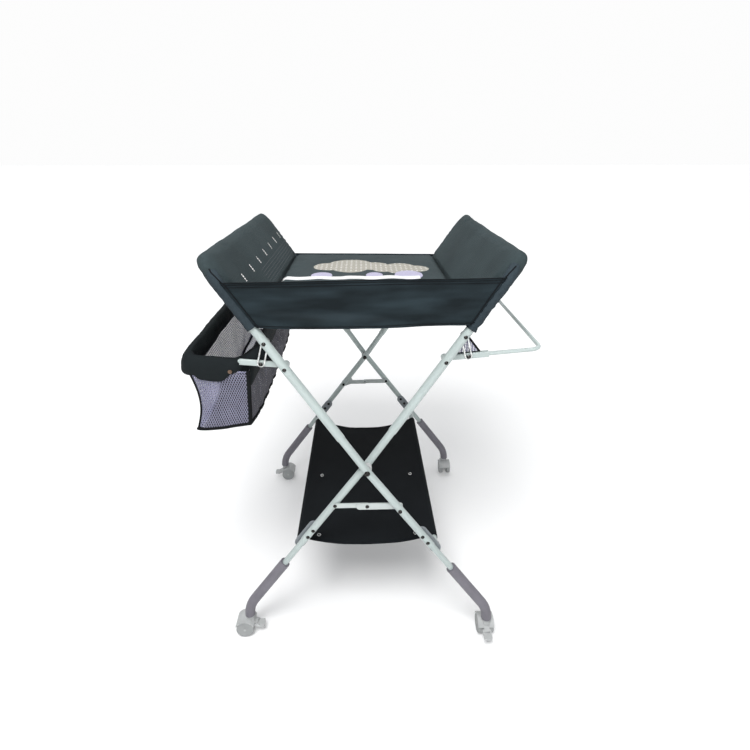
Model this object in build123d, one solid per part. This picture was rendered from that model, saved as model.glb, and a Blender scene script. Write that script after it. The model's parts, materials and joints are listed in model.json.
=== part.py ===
"""Folding changing table: two crossed tube frames with a fabric top, a shelf sling, a basket and a towel rail.

Lengths are in millimetres. The table stands on z = 0, X runs along the table and the front faces -Y.
The outer frame rises to the left hoop and the inner frame, between the outer frame's legs, to the right one.
"""

from build123d import *
from math import atan, atan2, cos, degrees, hypot, radians, sin, tan
import os

os.makedirs("parts", exist_ok=True)

# Overall sizes
total_height = 1000.0  # floor to the top of the padded hoops
crossing_height = 490.0  # floor to the pivots where the frames cross
depth_between_legs = 650.0  # front layer gap to rear layer gap, middle to middle
upper_leg_angle = 56.0  # above the horizontal, from the crossing up
lower_leg_angle = 53.5  # below the horizontal, from the crossing down
foot_reach = 302.0  # middle plane to each caster stem

# Frame tubes: the leg slides into the hoop and the thin leg end into the leg
hoop_radius = 10.0
tube_wall = 1.2
leg_bend_radius = 300.0
layer_gap = 7.0  # clear space between the outer and inner hoops
hoop_corner_radius = 55.0
hoop_end_along = 105.0  # crossing to the lower end of the hoop's tube
hoop_insert = 35.0  # length of leg inside the hoop
leg_lower_length = 262.0  # crossing to the lower end of the leg's tube
leg_insert = 50.0  # length of thin tube inside the leg
socket_start = 345.0  # crossing to the mouth of the foot
socket_depth = 30.0
foot_radius = 12.5
foot_bend_radius = 80.0
foot_end_height = 54.0
fit_clearance = 0.05  # radial, on pins, sockets and spigots

# Rivets
rivet_radius = 2.6
rivet_head_radius = 4.6
rivet_head_height = 1.8
pivot_radius = 4.0
pivot_head_radius = 7.0
pivot_head_height = 2.4
spacer_radius = 11.0
spacer_slack = 0.1  # each side of the spacer between the legs

# Rail arms and stays
arm_pivot_along = 316.0  # crossing to the arm pivot, up the leg
stay_anchor_along = 388.5  # crossing to the upper stay rivet
rail_rise_angle = 5.0
arm_length = 101.0
arm_height = 14.0
arm_thickness = 11.0
arm_corner = 2.5
knuckle_radius = 7.5
tongue_length = 18.0  # thin part of the arm beside the leg
tongue_radius = 4.5
arm_rivet_along = 54.0  # arm pivot to the lower stay rivet
arm_bore_start = 62.0
stay_wire_radius = 2.0
stay_inner_radius = 5.0
stay_play = 0.35  # between a rivet and the end of the loop
layer_clearance = 0.4
rod_radius = 4.6
rod_corner_radius = 22.0
basket_reach = 216.0  # arm pivot to the outer rod of the basket
towel_reach = 222.0  # arm pivot to the outer rod of the towel rail

# Basket
rim_drop = 38.0  # rod centre down to the lower edge of the rim
rim_rise = 5.5
rim_outer_pad = 13.0
rim_inner_pad = 9.0
rim_start = 78.0  # arm pivot to the rim's inner side
rim_inner_wall = 8.0
bag_wall = 2.5
bag_depth = 118.0
bag_inset = 4.0
bag_outer_inset = 16.0
bag_bottom_start = 60.0
bag_bottom_end = 183.0
bag_bottom_inset = 14.0
snap_radius = 4.5
snap_thickness = 1.5
snap_along = 119.0
snap_drop = 20.0

# Shelf
shelf_bar_reach = 167.0
shelf_bar_height = 264.0
shelf_bar_radius = 8.0
shelf_bar_wall = 1.2
bracket_thickness = 4.0
bracket_radius = 13.0
bracket_boss_radius = 11.0
bracket_boss_length = 8.0
bracket_rivets_along = (222.0, 244.0)
shelf_thickness = 2.0
shelf_sag = 14.0
sleeve_clearance = 0.3

# Braces
brace_along = 129.4  # crossing to the brace rivets, down the leg
brace_thickness = 3.4
brace_slack = 0.6
brace_overlap = 18.0  # wide link beyond the middle rivet
narrow_link_radius = 5.6
wide_link_radius = 8.0
rear_link_radius = 7.0
gusset_up = 30.0  # rear left link's plate along the leg, above its rivet
gusset_down = 18.0
gusset_in = 30.0  # and along the link
gusset_radius = 5.5

# Fabric top
panel_inner_wall = 9.2  # padding in front of the hoop
panel_outer_wall = 3.0
panel_edge_round = 12.5
panel_top_wall = 4.7
panel_side_wall = 3.7
panel_bottom_along = 424.0
sleeve_wall = 2.2
sleeve_bottom_along = 416.0
pad_top_height = 860.0
pad_thickness = 14.0
pad_gap = 0.5
apron_thickness = 4.0
apron_set_back = 3.0  # sleeve front to the apron's middle
apron_top_height = 947.0
apron_bottom_height = 846.0
rear_apron_bottom_height = 830.0
gusset_thickness = 1.5
gusset_clearance = 0.6

# Casters
wheel_radius = 22.0
wheel_width = 12.5
wheel_chamfer = 1.5
caster_trail = 12.0
caster_core_half = 7.0
caster_side_gap = 0.4
fender_gap = 1.0
fender_wall = 2.5
fender_base_height = 32.0
axle_radius = 3.0
axle_boss_radius = 12.0
neck_radius = 10.0
neck_height = 41.0
collar_radius = 9.0
swivel_gap = 0.3
stem_radius = 4.0
stem_length = 20.0  # above the foot's lower end
stem_seat_height = 40.0
pedal_pin_radius = 1.6
pedal_pin_back = 15.0
pedal_pin_height = 27.0
pedal_lug_radius = 4.0
pedal_ear_width = 2.6
pedal_length = 36.0  # stem axis to the pedal's tip
pedal_half_width = 10.0
pedal_low = 20.0
pedal_high = 26.0

# Places worked out from the sizes above
leg_radius = hoop_radius - tube_wall - fit_clearance
leg_end_radius = leg_radius - tube_wall - fit_clearance
sleeve_bore = hoop_radius + sleeve_clearance
sleeve_radius = sleeve_bore + sleeve_wall
panel_inner_offset = sleeve_bore + panel_inner_wall  # hoop axis to the padded face
panel_outer_offset = sleeve_bore + panel_outer_wall
panel_top_margin = sleeve_bore + panel_top_wall
panel_side_margin = sleeve_bore + panel_side_wall
up = radians(upper_leg_angle)
down = radians(lower_leg_angle)
rise = radians(rail_rise_angle)
layer_offset = hoop_radius + layer_gap / 2
leg_gap = layer_offset - leg_radius  # middle of the layers to a leg's face
outer_depth = depth_between_legs / 2 + layer_offset
inner_depth = depth_between_legs / 2 - layer_offset
round_centre = panel_inner_offset - panel_edge_round
round_along = panel_top_margin - panel_edge_round
hoop_rise = round_along * sin(up) + round_centre * cos(up) + panel_edge_round
bar_height = total_height - hoop_rise
hoop_along = (bar_height - crossing_height) / sin(up)
pivot_x = arm_pivot_along * cos(up)
pivot_z = crossing_height + arm_pivot_along * sin(up)
OUTER = -1
INNER = 1


def leg_depth(frame):
    """Middle plane to the leg axes of a frame."""
    return outer_depth if frame == OUTER else inner_depth


def upper(frame, along, inward=0.0):
    """Point (x, z) up the leg from the crossing, inward towards the pad."""
    x = along * cos(up) - inward * sin(up)
    return frame * x, crossing_height + along * sin(up) + inward * cos(up)


def lower(frame, along):
    """Point (x, z) down the leg from the crossing."""
    return -frame * along * cos(down), crossing_height - along * sin(down)


def y_cylinder(radius, x, z, y_from, y_to):
    """Cylinder along Y between two places."""
    return Pos(x, (y_from + y_to) / 2, z) * Rot(X=90) * Cylinder(radius, abs(y_to - y_from))


def rivet(x, z, y_outer, y_inner, radius=rivet_radius, head=rivet_head_radius, height=rivet_head_height):
    """Shank along Y with a domed head beyond each end."""
    body = y_cylinder(radius, x, z, y_outer, y_inner)
    dome = Cone(head, 0.6 * head, height, align=(Align.CENTER, Align.CENTER, Align.MIN))
    direction = 1 if y_outer > y_inner else -1
    body += Pos(x, y_outer, z) * Rot(X=-90 * direction) * dome
    body += Pos(x, y_inner, z) * Rot(X=90 * direction) * dome
    return body


def tube(points, radius, wall=0.0, bend=0.0):
    """Round tube, or rod when wall is 0, along straight runs joined by bends."""
    path = FilletPolyline(*points, radius=bend) if len(points) > 2 else Line(*points)
    section = Circle(radius)
    if wall:
        section -= Circle(radius - wall)
    return sweep(Plane(origin=path @ 0, z_dir=path % 0) * section, path=path)


def xz_hull(circles, y_from, y_to):
    """Plate along Y whose outline wraps circles given as (x, z, radius)."""
    edges = [Pos(x, z) * Circle(radius).edge() for x, z, radius in circles]
    outline = make_hull(edges) if len(edges) > 1 else Pos(circles[0][0], circles[0][1]) * Circle(circles[0][2])
    plate = extrude(Plane.XZ * outline, amount=abs(y_to - y_from))
    return Pos(0, max(y_from, y_to), 0) * plate


def xz_plate(points, y_from, y_to):
    """Plate along Y with straight edges between (x, z) points."""
    outline = make_face(Polyline(*points, close=True))
    return Pos(0, max(y_from, y_to), 0) * extrude(Plane.XZ * outline, amount=abs(y_to - y_from))


def block(low, high):
    """Box between two corners."""
    sizes = [b - a for a, b in zip(low, high)]
    return Pos(*[(a + b) / 2 for a, b in zip(low, high)]) * Box(*sizes)


# Frames

def leg_holes(frame, face):
    """Drill holes for every rivet through one leg."""
    depth = face * leg_depth(frame)
    reach = 2 * hoop_radius
    spots = [upper(frame, arm_pivot_along), upper(frame, stay_anchor_along), lower(frame, brace_along)]
    spots += [lower(frame, along) for along in bracket_rivets_along]
    holes = [y_cylinder(rivet_radius + fit_clearance, x, z, depth - reach, depth + reach) for x, z in spots]
    holes.append(y_cylinder(pivot_radius + fit_clearance, 0, crossing_height, depth - reach, depth + reach))
    return holes


def hoop(frame):
    """Upper legs and the bar between them, one bent tube."""
    depth = leg_depth(frame)
    foot_x, foot_z = upper(frame, hoop_end_along)
    top_x, top_z = upper(frame, hoop_along)
    points = [(foot_x, -depth, foot_z), (top_x, -depth, top_z), (top_x, depth, top_z), (foot_x, depth, foot_z)]
    shape = tube(points, hoop_radius, tube_wall, hoop_corner_radius)
    for face in (-1, 1):
        for hole in leg_holes(frame, face)[:2]:
            shape -= hole
    return shape


def leg(frame, face):
    """Main leg tube through the crossing, bent slightly there."""
    y = face * leg_depth(frame)
    top_x, top_z = upper(frame, hoop_end_along + hoop_insert)
    end_x, end_z = lower(frame, leg_lower_length)
    points = [(top_x, y, top_z), (0, y, crossing_height), (end_x, y, end_z)]
    shape = tube(points, leg_radius, tube_wall, leg_bend_radius)
    for hole in leg_holes(frame, face)[2:]:
        shape -= hole
    return shape


def leg_end(frame, face):
    """Thin tube that slides into the leg above and the foot below."""
    y = face * leg_depth(frame)
    marks = (leg_lower_length - leg_insert, socket_start + socket_depth)
    ends = [(x, y, z) for x, z in (lower(frame, along) for along in marks)]
    shape = tube(ends, leg_end_radius, tube_wall)
    for hole in leg_holes(frame, face)[3:5]:
        shape -= hole
    return shape


def foot_corner():
    """Height where the leg's line meets the stem's."""
    return crossing_height - foot_reach * tan(down)


def foot(frame, face):
    """Curved foot from the thin tube to the caster stem."""
    y = face * leg_depth(frame)
    start_x, start_z = lower(frame, socket_start)
    socket_x, socket_z = lower(frame, socket_start + socket_depth)
    stem_x = -frame * foot_reach
    points = [(start_x, y, start_z), (stem_x, y, foot_corner()), (stem_x, y, foot_end_height)]
    shape = tube(points, foot_radius, bend=foot_bend_radius)
    shape -= tube([points[0], (socket_x, y, socket_z)], leg_end_radius + fit_clearance)
    bore_top = foot_end_height + stem_length + fit_clearance
    bore = Cylinder(stem_radius + fit_clearance, bore_top - foot_end_height)
    return shape - Pos(stem_x, y, (foot_end_height + bore_top) / 2) * bore


def bracket_faces(frame):
    """Depths of the bracket's outer and inner faces."""
    outer = leg_depth(frame) - leg_radius - fit_clearance
    return outer, outer - bracket_thickness


def shelf_bracket(frame, face):
    """Plate behind the leg with a boss for the shelf bar."""
    outer, inner = bracket_faces(frame)
    top_x, top_z = lower(frame, bracket_rivets_along[0])
    bar_x = -frame * shelf_bar_reach
    circles = [(top_x, top_z, bracket_radius), (bar_x, shelf_bar_height, bracket_radius)]
    shape = xz_hull(circles, face * outer, face * inner)
    boss_end = inner - bracket_boss_length
    shape += y_cylinder(bracket_boss_radius, bar_x, shelf_bar_height, face * inner, face * boss_end)
    bore = y_cylinder(shelf_bar_radius + fit_clearance, bar_x, shelf_bar_height, face * inner, face * boss_end)
    shape -= bore
    for along in bracket_rivets_along:
        x, z = lower(frame, along)
        shape -= y_cylinder(rivet_radius + fit_clearance, x, z, face * outer, face * inner)
    return shape


def shelf_bar(frame):
    """Tube between the two brackets."""
    inner = bracket_faces(frame)[1]
    x = -frame * shelf_bar_reach
    return tube([(x, -inner, shelf_bar_height), (x, inner, shelf_bar_height)], shelf_bar_radius, shelf_bar_wall)


def stay_depth(frame):
    """Depth of the middle of the stay wire."""
    return leg_depth(frame) - hoop_radius - layer_clearance - stay_wire_radius


def arm_outer_depth(frame):
    """Depth of the arm's face beside the stay."""
    return stay_depth(frame) - stay_wire_radius - layer_clearance


def frame_rivets(frame, face):
    """Rivets that a frame's leg carries, one list."""
    outer = leg_depth(frame) + hoop_radius
    stay_inner = stay_depth(frame) - stay_wire_radius - layer_clearance / 2
    arm_inner = arm_outer_depth(frame) - arm_thickness
    ends = [(upper(frame, arm_pivot_along), outer, arm_inner), (upper(frame, stay_anchor_along), outer, stay_inner)]
    for along in bracket_rivets_along:
        ends.append((lower(frame, along), leg_depth(frame) + leg_radius, bracket_faces(frame)[1]))
    rivets = [rivet(x, z, face * high, face * low) for (x, z), high, low in ends]
    rivets.append(brace_rivet(frame, face))
    return rivets


# Braces

def link_depths(frame):
    """Depths of the outer and inner faces of the link that hangs on a frame."""
    near, far = brace_slack / 2, brace_slack / 2 + brace_thickness
    first, second = (far, near) if frame == OUTER else (-near, -far)
    return depth_between_legs / 2 + first, depth_between_legs / 2 + second


def brace_rivet(frame, face):
    """Rivet through a leg and its brace link, flush where the other link passes."""
    x, z = lower(frame, brace_along)
    flush = 0.3
    if frame == OUTER:
        high, low = outer_depth + leg_radius, link_depths(frame)[1]
    else:
        high, low = link_depths(frame)[0], inner_depth - leg_radius
    shape = y_cylinder(rivet_radius, x, z, face * high, face * low)
    outward = rivet_head_height if frame == OUTER else flush
    inward = flush if frame == OUTER else rivet_head_height
    shape += y_cylinder(rivet_head_radius, x, z, face * high, face * (high + outward))
    return shape + y_cylinder(rivet_head_radius, x, z, face * low, face * (low - inward))


def link_gusset(face):
    """Three-cornered plate that stiffens the inner frame's link beside the leg."""
    high, low = [face * depth for depth in link_depths(INNER)]
    spots = [lower(INNER, brace_along - gusset_up), lower(INNER, brace_along + gusset_down)]
    leg_x, leg_z = lower(INNER, brace_along)
    spots.append((leg_x + gusset_in, leg_z))
    return xz_hull([(x, z, gusset_radius) for x, z in spots], high, low)


def brace_link(frame, face, radius, gusset=False, overlap=0.0):
    """Flat link from a leg to the middle of the brace, or past it by an overlap."""
    leg_x, leg_z = lower(frame, brace_along)
    high, low = link_depths(frame)
    shape = xz_hull([(leg_x, leg_z, radius), (frame * overlap, leg_z, radius)], face * high, face * low)
    if gusset:
        shape += link_gusset(face)
    for x in (leg_x, 0):
        shape -= y_cylinder(rivet_radius + fit_clearance, x, leg_z, face * high, face * low)
    return shape


def brace_pin(face):
    """Stud at the middle of the brace, carried by the outer frame's link."""
    z = lower(OUTER, brace_along)[1]
    high, low = link_depths(OUTER)
    shape = y_cylinder(rivet_radius, 0, z, face * high, face * low)
    return shape + y_cylinder(rivet_head_radius, 0, z, face * high, face * (high + brace_slack / 2))


# Rails: shapes are laid out from the arm pivot, x along the arm and z square to it, then set in place

def place_rail(frame, shape):
    """Move a shape from the arm's own axes to its side of the table."""
    axes = Plane(origin=(pivot_x, 0, pivot_z), x_dir=(cos(rise), 0, sin(rise)), z_dir=(-sin(rise), 0, cos(rise)))
    placed = axes.location * shape
    return mirror(placed, about=Plane.YZ) if frame == OUTER else placed


def rail_point(frame, along):
    """Point (x, z) along the arm from its pivot."""
    return frame * (pivot_x + along * cos(rise)), pivot_z + along * sin(rise)


def arm_axis_depth(frame):
    """Depth of the middle of an arm."""
    return arm_outer_depth(frame) - arm_thickness / 2


def arm(frame, face):
    """Arm with a knuckle on the leg's rivet and a bore for the rod."""
    outer = arm_outer_depth(frame)
    inner = outer - arm_thickness
    knuckle_face = leg_depth(frame) - hoop_radius - fit_clearance
    half = arm_height / 2
    low, high = sorted((face * outer, face * inner))
    bar = block((tongue_length, low, -half), (arm_length, high, half))
    bar = fillet(bar.edges().filter_by(Axis.X), arm_corner)
    bar += xz_hull([(0, 0, knuckle_radius), (tongue_length + half, 0, tongue_radius)], face * outer, face * inner)
    shape = bar + y_cylinder(knuckle_radius, 0, 0, face * knuckle_face, face * inner)
    y = face * arm_axis_depth(frame)
    shape -= tube([(arm_bore_start, y, 0), (arm_length, y, 0)], rod_radius + fit_clearance)
    for along in (0, arm_rivet_along):
        shape -= y_cylinder(rivet_radius + fit_clearance, along, 0, face * knuckle_face, face * inner)
    return place_rail(frame, shape)


def rod(frame, reach, radius, start=arm_bore_start):
    """U-shaped rod between the arms, in the arm's own axes."""
    y = arm_axis_depth(frame)
    points = [(start, -y, 0), (reach, -y, 0), (reach, y, 0), (start, y, 0)]
    return tube(points, radius, bend=rod_corner_radius)


def stay(frame, face):
    """Long wire link from the leg's rivet to the arm's."""
    top_x, top_z = upper(frame, stay_anchor_along)
    low_x, low_z = rail_point(frame, arm_rivet_along)
    length = hypot(top_x - low_x, top_z - low_z)
    slack = stay_inner_radius - rivet_radius - stay_play
    straight = length - 2 * slack
    ring = SlotCenterToCenter(straight, 2 * (stay_inner_radius + stay_wire_radius))
    path = ring.face().outer_wire()
    section = Plane(origin=path @ 0, z_dir=path % 0) * Circle(stay_wire_radius)
    wire = sweep(section, path=path)
    tilt = degrees(atan2(top_z - low_z, top_x - low_x))
    middle = Pos((top_x + low_x) / 2, face * stay_depth(frame), (top_z + low_z) / 2)
    return middle * Rot(Y=-tilt) * Rot(X=90) * wire


def arm_rivet(frame, face):
    """Rivet that joins an arm and its stay."""
    x, z = rail_point(frame, arm_rivet_along)
    outer = stay_depth(frame) + stay_wire_radius + layer_clearance / 2
    return rivet(x, z, face * outer, face * (arm_outer_depth(frame) - arm_thickness))


def basket_rim():
    """Padded band round the basket rod, open in the middle."""
    y = arm_axis_depth(OUTER)
    outer_y = y + rim_outer_pad
    inner_y = y - rim_inner_pad
    end = basket_reach + rim_outer_pad
    shape = block((rim_start, -outer_y, -rim_drop), (end, outer_y, rim_rise))
    shape = fillet(shape.edges().filter_by(Axis.Z), rim_outer_pad)
    low = (rim_start + rim_inner_wall, -inner_y, -rim_drop)
    shape -= block(low, (basket_reach - rim_inner_pad, inner_y, rim_rise))
    shape -= rod(OUTER, basket_reach, rod_radius + sleeve_clearance, rim_start)
    half_y = arm_thickness / 2 + sleeve_clearance
    half_z = arm_height / 2 + sleeve_clearance
    for face in (-1, 1):
        middle = face * y
        low = (rim_start - arm_corner, middle - half_y, -half_z)
        shape -= block(low, (arm_length + sleeve_clearance, middle + half_y, half_z))
    return place_rail(OUTER, shape)


def basket_bag():
    """Open-topped bag under the rim."""
    y = arm_axis_depth(OUTER) + rim_outer_pad - bag_inset
    top = -rim_drop - sleeve_clearance
    first, last = rim_start + bag_inset / 2, basket_reach + rim_outer_pad - bag_outer_inset

    def hull(wall, low):
        upper_face = Pos((first + last) / 2, 0, top) * Rectangle(last - first - 2 * wall, 2 * (y - wall))
        middle = (bag_bottom_start + bag_bottom_end) / 2
        width = bag_bottom_end - bag_bottom_start - 2 * wall
        lower_face = Pos(middle, 0, low) * Rectangle(width, 2 * (y - bag_bottom_inset - wall))
        return loft([lower_face, upper_face])

    bottom = top - bag_depth
    shape = hull(0, bottom) - hull(bag_wall, bottom + bag_wall)
    return place_rail(OUTER, shape)


def basket_snap(face):
    """Snap button on the rim's end."""
    y = arm_axis_depth(OUTER) + rim_outer_pad
    shape = y_cylinder(snap_radius, snap_along, -snap_drop, face * y, face * (y + snap_thickness))
    return place_rail(OUTER, shape)


def towel_gusset(face):
    """Triangle of mesh between the inner frame's leg and the towel arm."""
    y = arm_axis_depth(INNER)
    edge = arm_height / 2 + gusset_clearance
    top = upper(INNER, stay_anchor_along, -hoop_radius)
    inner_low = place_rail(INNER, Pos(tongue_length, 0, edge) * Box(1, 1, 1)).center()
    outer_low = place_rail(INNER, Pos(0.8 * arm_length, 0, edge) * Box(1, 1, 1)).center()
    points = [top, (inner_low.X, inner_low.Z), (outer_low.X, outer_low.Z)]
    half = gusset_thickness / 2
    return xz_plate(points, face * y - half, face * y + half)


# Fabric top

def end_panel(frame):
    """Padded end between a frame's legs, with a sleeve down each leg."""
    depth = leg_depth(frame)
    x_dir = (frame * cos(up), 0, sin(up))
    normal = (-frame * sin(up), 0, cos(up))
    axes = Plane(origin=(0, 0, crossing_height), x_dir=x_dir, z_dir=normal)
    top = hoop_along + panel_top_margin
    side = depth + panel_side_margin
    slab = block((panel_bottom_along, -side, -panel_outer_offset), (top, side, panel_inner_offset))
    far_edges = slab.edges().filter_by(Axis.Z).group_by(Axis.X)[-1]
    slab = fillet(far_edges, hoop_corner_radius + panel_top_margin)
    rim = slab.faces().sort_by(Axis.X)[-1].edges().filter_by(Axis.Y)
    slab = fillet(rim, panel_edge_round)
    for face in (-1, 1):
        low = (sleeve_bottom_along, face * depth, 0)
        high = (panel_bottom_along + sleeve_radius, face * depth, 0)
        slab += tube([low, high], sleeve_radius)
    shape = axes.location * slab
    low_x, low_z = upper(frame, hoop_end_along)
    top_x, top_z = upper(frame, hoop_along)
    points = [(low_x, -depth, low_z), (top_x, -depth, top_z), (top_x, depth, top_z), (low_x, depth, low_z)]
    return shape - tube(points, sleeve_bore, bend=hoop_corner_radius)


def face_x(height, inward):
    """Distance from the middle to a line beside the upper leg, at a height."""
    along = (height - crossing_height - inward * cos(up)) / sin(up)
    return along * cos(up) - inward * sin(up)


def fabric_trapezoid(low, high, inward, y_from, y_to):
    """Plate between the two upper legs, between two heights."""
    wide, narrow = face_x(high, inward), face_x(low, inward)
    return xz_plate([(-narrow, low), (narrow, low), (wide, high), (-wide, high)], y_from, y_to)


apron_depth = (outer_depth + inner_depth) / 2 + sleeve_radius - apron_set_back
apron_slope = (outer_depth - inner_depth) / (2 * face_x(pad_top_height, 0))


def apron(face, low, high):
    """Fabric wall from the outer frame's sleeve to the inner frame's."""
    half = apron_thickness / 2
    plate = fabric_trapezoid(low, high, panel_inner_offset + pad_gap, -half, half)
    return Pos(0, face * apron_depth, 0) * Rot(Z=-face * degrees(atan(apron_slope))) * plate


def centre_pad():
    """Pad between the end panels and the aprons."""
    low = pad_top_height - pad_thickness
    ends = fabric_trapezoid(low, pad_top_height, panel_inner_offset + pad_gap, -outer_depth, outer_depth)
    half_x = face_x(pad_top_height, 0)
    edge = apron_depth - apron_thickness / 2 - 2 * pad_gap
    wide, narrow = edge + apron_slope * half_x, edge - apron_slope * half_x
    plan = Polyline((-half_x, -wide), (half_x, -narrow), (half_x, narrow), (-half_x, wide), close=True)
    return ends & Pos(0, 0, low) * extrude(make_face(plan), amount=pad_thickness)


def shelf_sling():
    """Sling that hangs between the two shelf bars."""
    sleeve = shelf_bar_radius + sleeve_clearance + shelf_thickness
    low = shelf_bar_height - sleeve
    ends = [(-shelf_bar_reach, low), (shelf_bar_reach, low)]
    under = ThreePointArc(ends[0], (0, low - shelf_sag), ends[1])
    over = ThreePointArc(
        (shelf_bar_reach, low + shelf_thickness),
        (0, low - shelf_sag + shelf_thickness),
        (-shelf_bar_reach, low + shelf_thickness),
    )
    sides = [Line(under @ 1, over @ 0), Line(over @ 1, under @ 0)]
    profile = make_face([under, sides[0], over, sides[1]])
    for side in (-1, 1):
        profile += Pos(side * shelf_bar_reach, shelf_bar_height) * Circle(sleeve)
    for side in (-1, 1):
        profile -= Pos(side * shelf_bar_reach, shelf_bar_height) * Circle(shelf_bar_radius + sleeve_clearance)
    half = bracket_faces(INNER)[1] - bracket_boss_length - 4 * sleeve_clearance
    return Pos(0, half, 0) * extrude(Plane.XZ * profile, amount=2 * half)


# Casters: shapes are laid out from the stem's axis, x towards the wheels, then turned to their heading

def caster_hood():
    """Hood between the wheels with its collar and the pedal's lug."""
    half = caster_core_half
    wheel = (caster_trail, wheel_radius)
    core = xz_hull([(*wheel, axle_boss_radius), (0, neck_height, neck_radius)], -half, half)
    lug = [(-pedal_pin_back, pedal_pin_height, pedal_lug_radius), (0, pedal_pin_height + 6, pedal_lug_radius)]
    core += xz_hull(lug, -half, half)
    inner = wheel_radius + fender_gap
    outer = inner + fender_wall
    side = half + 2 * caster_side_gap + wheel_width
    above = block((caster_trail - outer, -side, fender_base_height), (caster_trail + outer, side, total_height))
    disc = xz_hull([(*wheel, outer)], -half, half)
    ring = xz_hull([(*wheel, outer)], -side, side) - xz_hull([(*wheel, inner)], -side, side)
    core += (disc & above) + (ring & above)
    top = foot_end_height - swivel_gap
    crown = wheel_radius + inner
    core += Pos(0, 0, (crown + top) / 2) * Cylinder(collar_radius, top - crown)
    core -= Pos(0, 0, (stem_seat_height + top) / 2) * Cylinder(stem_radius + fit_clearance, top - stem_seat_height)
    core -= y_cylinder(axle_radius + fit_clearance, *wheel, -half, half)
    return core - y_cylinder(pedal_pin_radius + fit_clearance, -pedal_pin_back, pedal_pin_height, -half, half)


def caster_body():
    """Hood with its stem, axle and pedal pin as separate solids."""
    stem_top = foot_end_height + stem_length
    stem = Pos(0, 0, (stem_seat_height + stem_top) / 2) * Cylinder(stem_radius, stem_top - stem_seat_height)
    side = caster_core_half + 2 * caster_side_gap + wheel_width
    axle = y_cylinder(axle_radius, caster_trail, wheel_radius, -side, side)
    ear = caster_core_half + caster_side_gap + pedal_ear_width
    pin = y_cylinder(pedal_pin_radius, -pedal_pin_back, pedal_pin_height, -ear, ear)
    return [caster_hood(), stem, axle, pin]


def caster_wheels():
    """Two wheels that turn on the axle."""
    wheels = []
    for side in (-1, 1):
        near = side * (caster_core_half + caster_side_gap)
        far = near + side * wheel_width
        wheel = y_cylinder(wheel_radius, caster_trail, wheel_radius, near, far)
        wheel = chamfer(wheel.edges().filter_by(GeomType.CIRCLE), wheel_chamfer)
        wheels.append(wheel - y_cylinder(axle_radius + fit_clearance, caster_trail, wheel_radius, near, far))
    return wheels


def caster_pedal():
    """Brake pedal with two ears on the pedal pin."""
    near = caster_core_half + caster_side_gap
    far = near + pedal_ear_width
    gap = pedal_pin_back + pedal_lug_radius + 2 * caster_side_gap
    shape = block((-pedal_length, -pedal_half_width, pedal_low), (-gap, pedal_half_width, pedal_high))
    shape = fillet(shape.edges().filter_by(Axis.Z).group_by(Axis.X)[0], (pedal_high - pedal_low) / 2)
    middle = (pedal_low + pedal_high) / 2
    ear = [(-pedal_pin_back, pedal_pin_height, pedal_lug_radius), (-gap - 3, middle, (pedal_high - pedal_low) / 2)]
    for side in (-1, 1):
        shape += xz_hull(ear, side * near, side * far)
        hole = pedal_pin_radius + fit_clearance
        shape -= y_cylinder(hole, -pedal_pin_back, pedal_pin_height, side * near, side * far)
    return [shape]


# Each caster's frame, end of the table and the way its wheels trail
caster_places = {
    "front_left": (INNER, -1, 180.0),
    "rear_left": (INNER, 1, 0.0),
    "front_right": (OUTER, -1, 90.0),
    "rear_right": (OUTER, 1, -90.0),
}

nodes = {}
for name, frame in (("outer", OUTER), ("inner", INNER)):
    nodes[f"{name}_hoop"] = [hoop(frame)]
    nodes[f"{name}_leg_ends"] = [leg_end(frame, face) for face in (-1, 1)]
    nodes[f"{name}_shelf_bar"] = [shelf_bar(frame)]
    nodes[f"{name}_shelf_brackets"] = [shelf_bracket(frame, face) for face in (-1, 1)]
    nodes[f"{name}_frame_rivets"] = [piece for face in (-1, 1) for piece in frame_rivets(frame, face)]
    for end, face in (("front", -1), ("rear", 1)):
        nodes[f"{name}_{end}_leg"] = [leg(frame, face)]
        nodes[f"{name}_{end}_foot"] = [foot(frame, face)]

pivots = []
spacers = []
for face in (-1, 1):
    high, low = face * (outer_depth + leg_radius), face * (inner_depth - leg_radius)
    pivots.append(rivet(0, crossing_height, high, low, pivot_radius, pivot_head_radius, pivot_head_height))
    gap_high = depth_between_legs / 2 + leg_gap - spacer_slack
    gap_low = depth_between_legs / 2 - leg_gap + spacer_slack
    washer = y_cylinder(spacer_radius, 0, crossing_height, face * gap_high, face * gap_low)
    hole = y_cylinder(pivot_radius + fit_clearance, 0, crossing_height, face * gap_high, face * gap_low)
    spacers.append(washer - hole)
nodes["frame_pivots"] = pivots
nodes["pivot_spacers"] = spacers

nodes["front_brace_left_link"] = [brace_link(INNER, -1, narrow_link_radius)]
nodes["front_brace_right_link"] = [brace_link(OUTER, -1, wide_link_radius, overlap=brace_overlap)]
nodes["rear_brace_left_link"] = [brace_link(INNER, 1, rear_link_radius, gusset=True)]
nodes["rear_brace_right_link"] = [brace_link(OUTER, 1, rear_link_radius)]
nodes["front_brace_pin"] = [brace_pin(-1)]
nodes["rear_brace_pin"] = [brace_pin(1)]

for name, frame, reach in (("basket", OUTER, basket_reach), ("towel", INNER, towel_reach)):
    nodes[f"{name}_front_arm"] = [arm(frame, -1)]
    nodes[f"{name}_rear_arm"] = [arm(frame, 1)]
    nodes[f"{name}_rail"] = [place_rail(frame, rod(frame, reach, rod_radius))]
    nodes[f"{name}_stays"] = [stay(frame, face) for face in (-1, 1)]
    nodes[f"{name}_arm_rivets"] = [arm_rivet(frame, face) for face in (-1, 1)]

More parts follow.
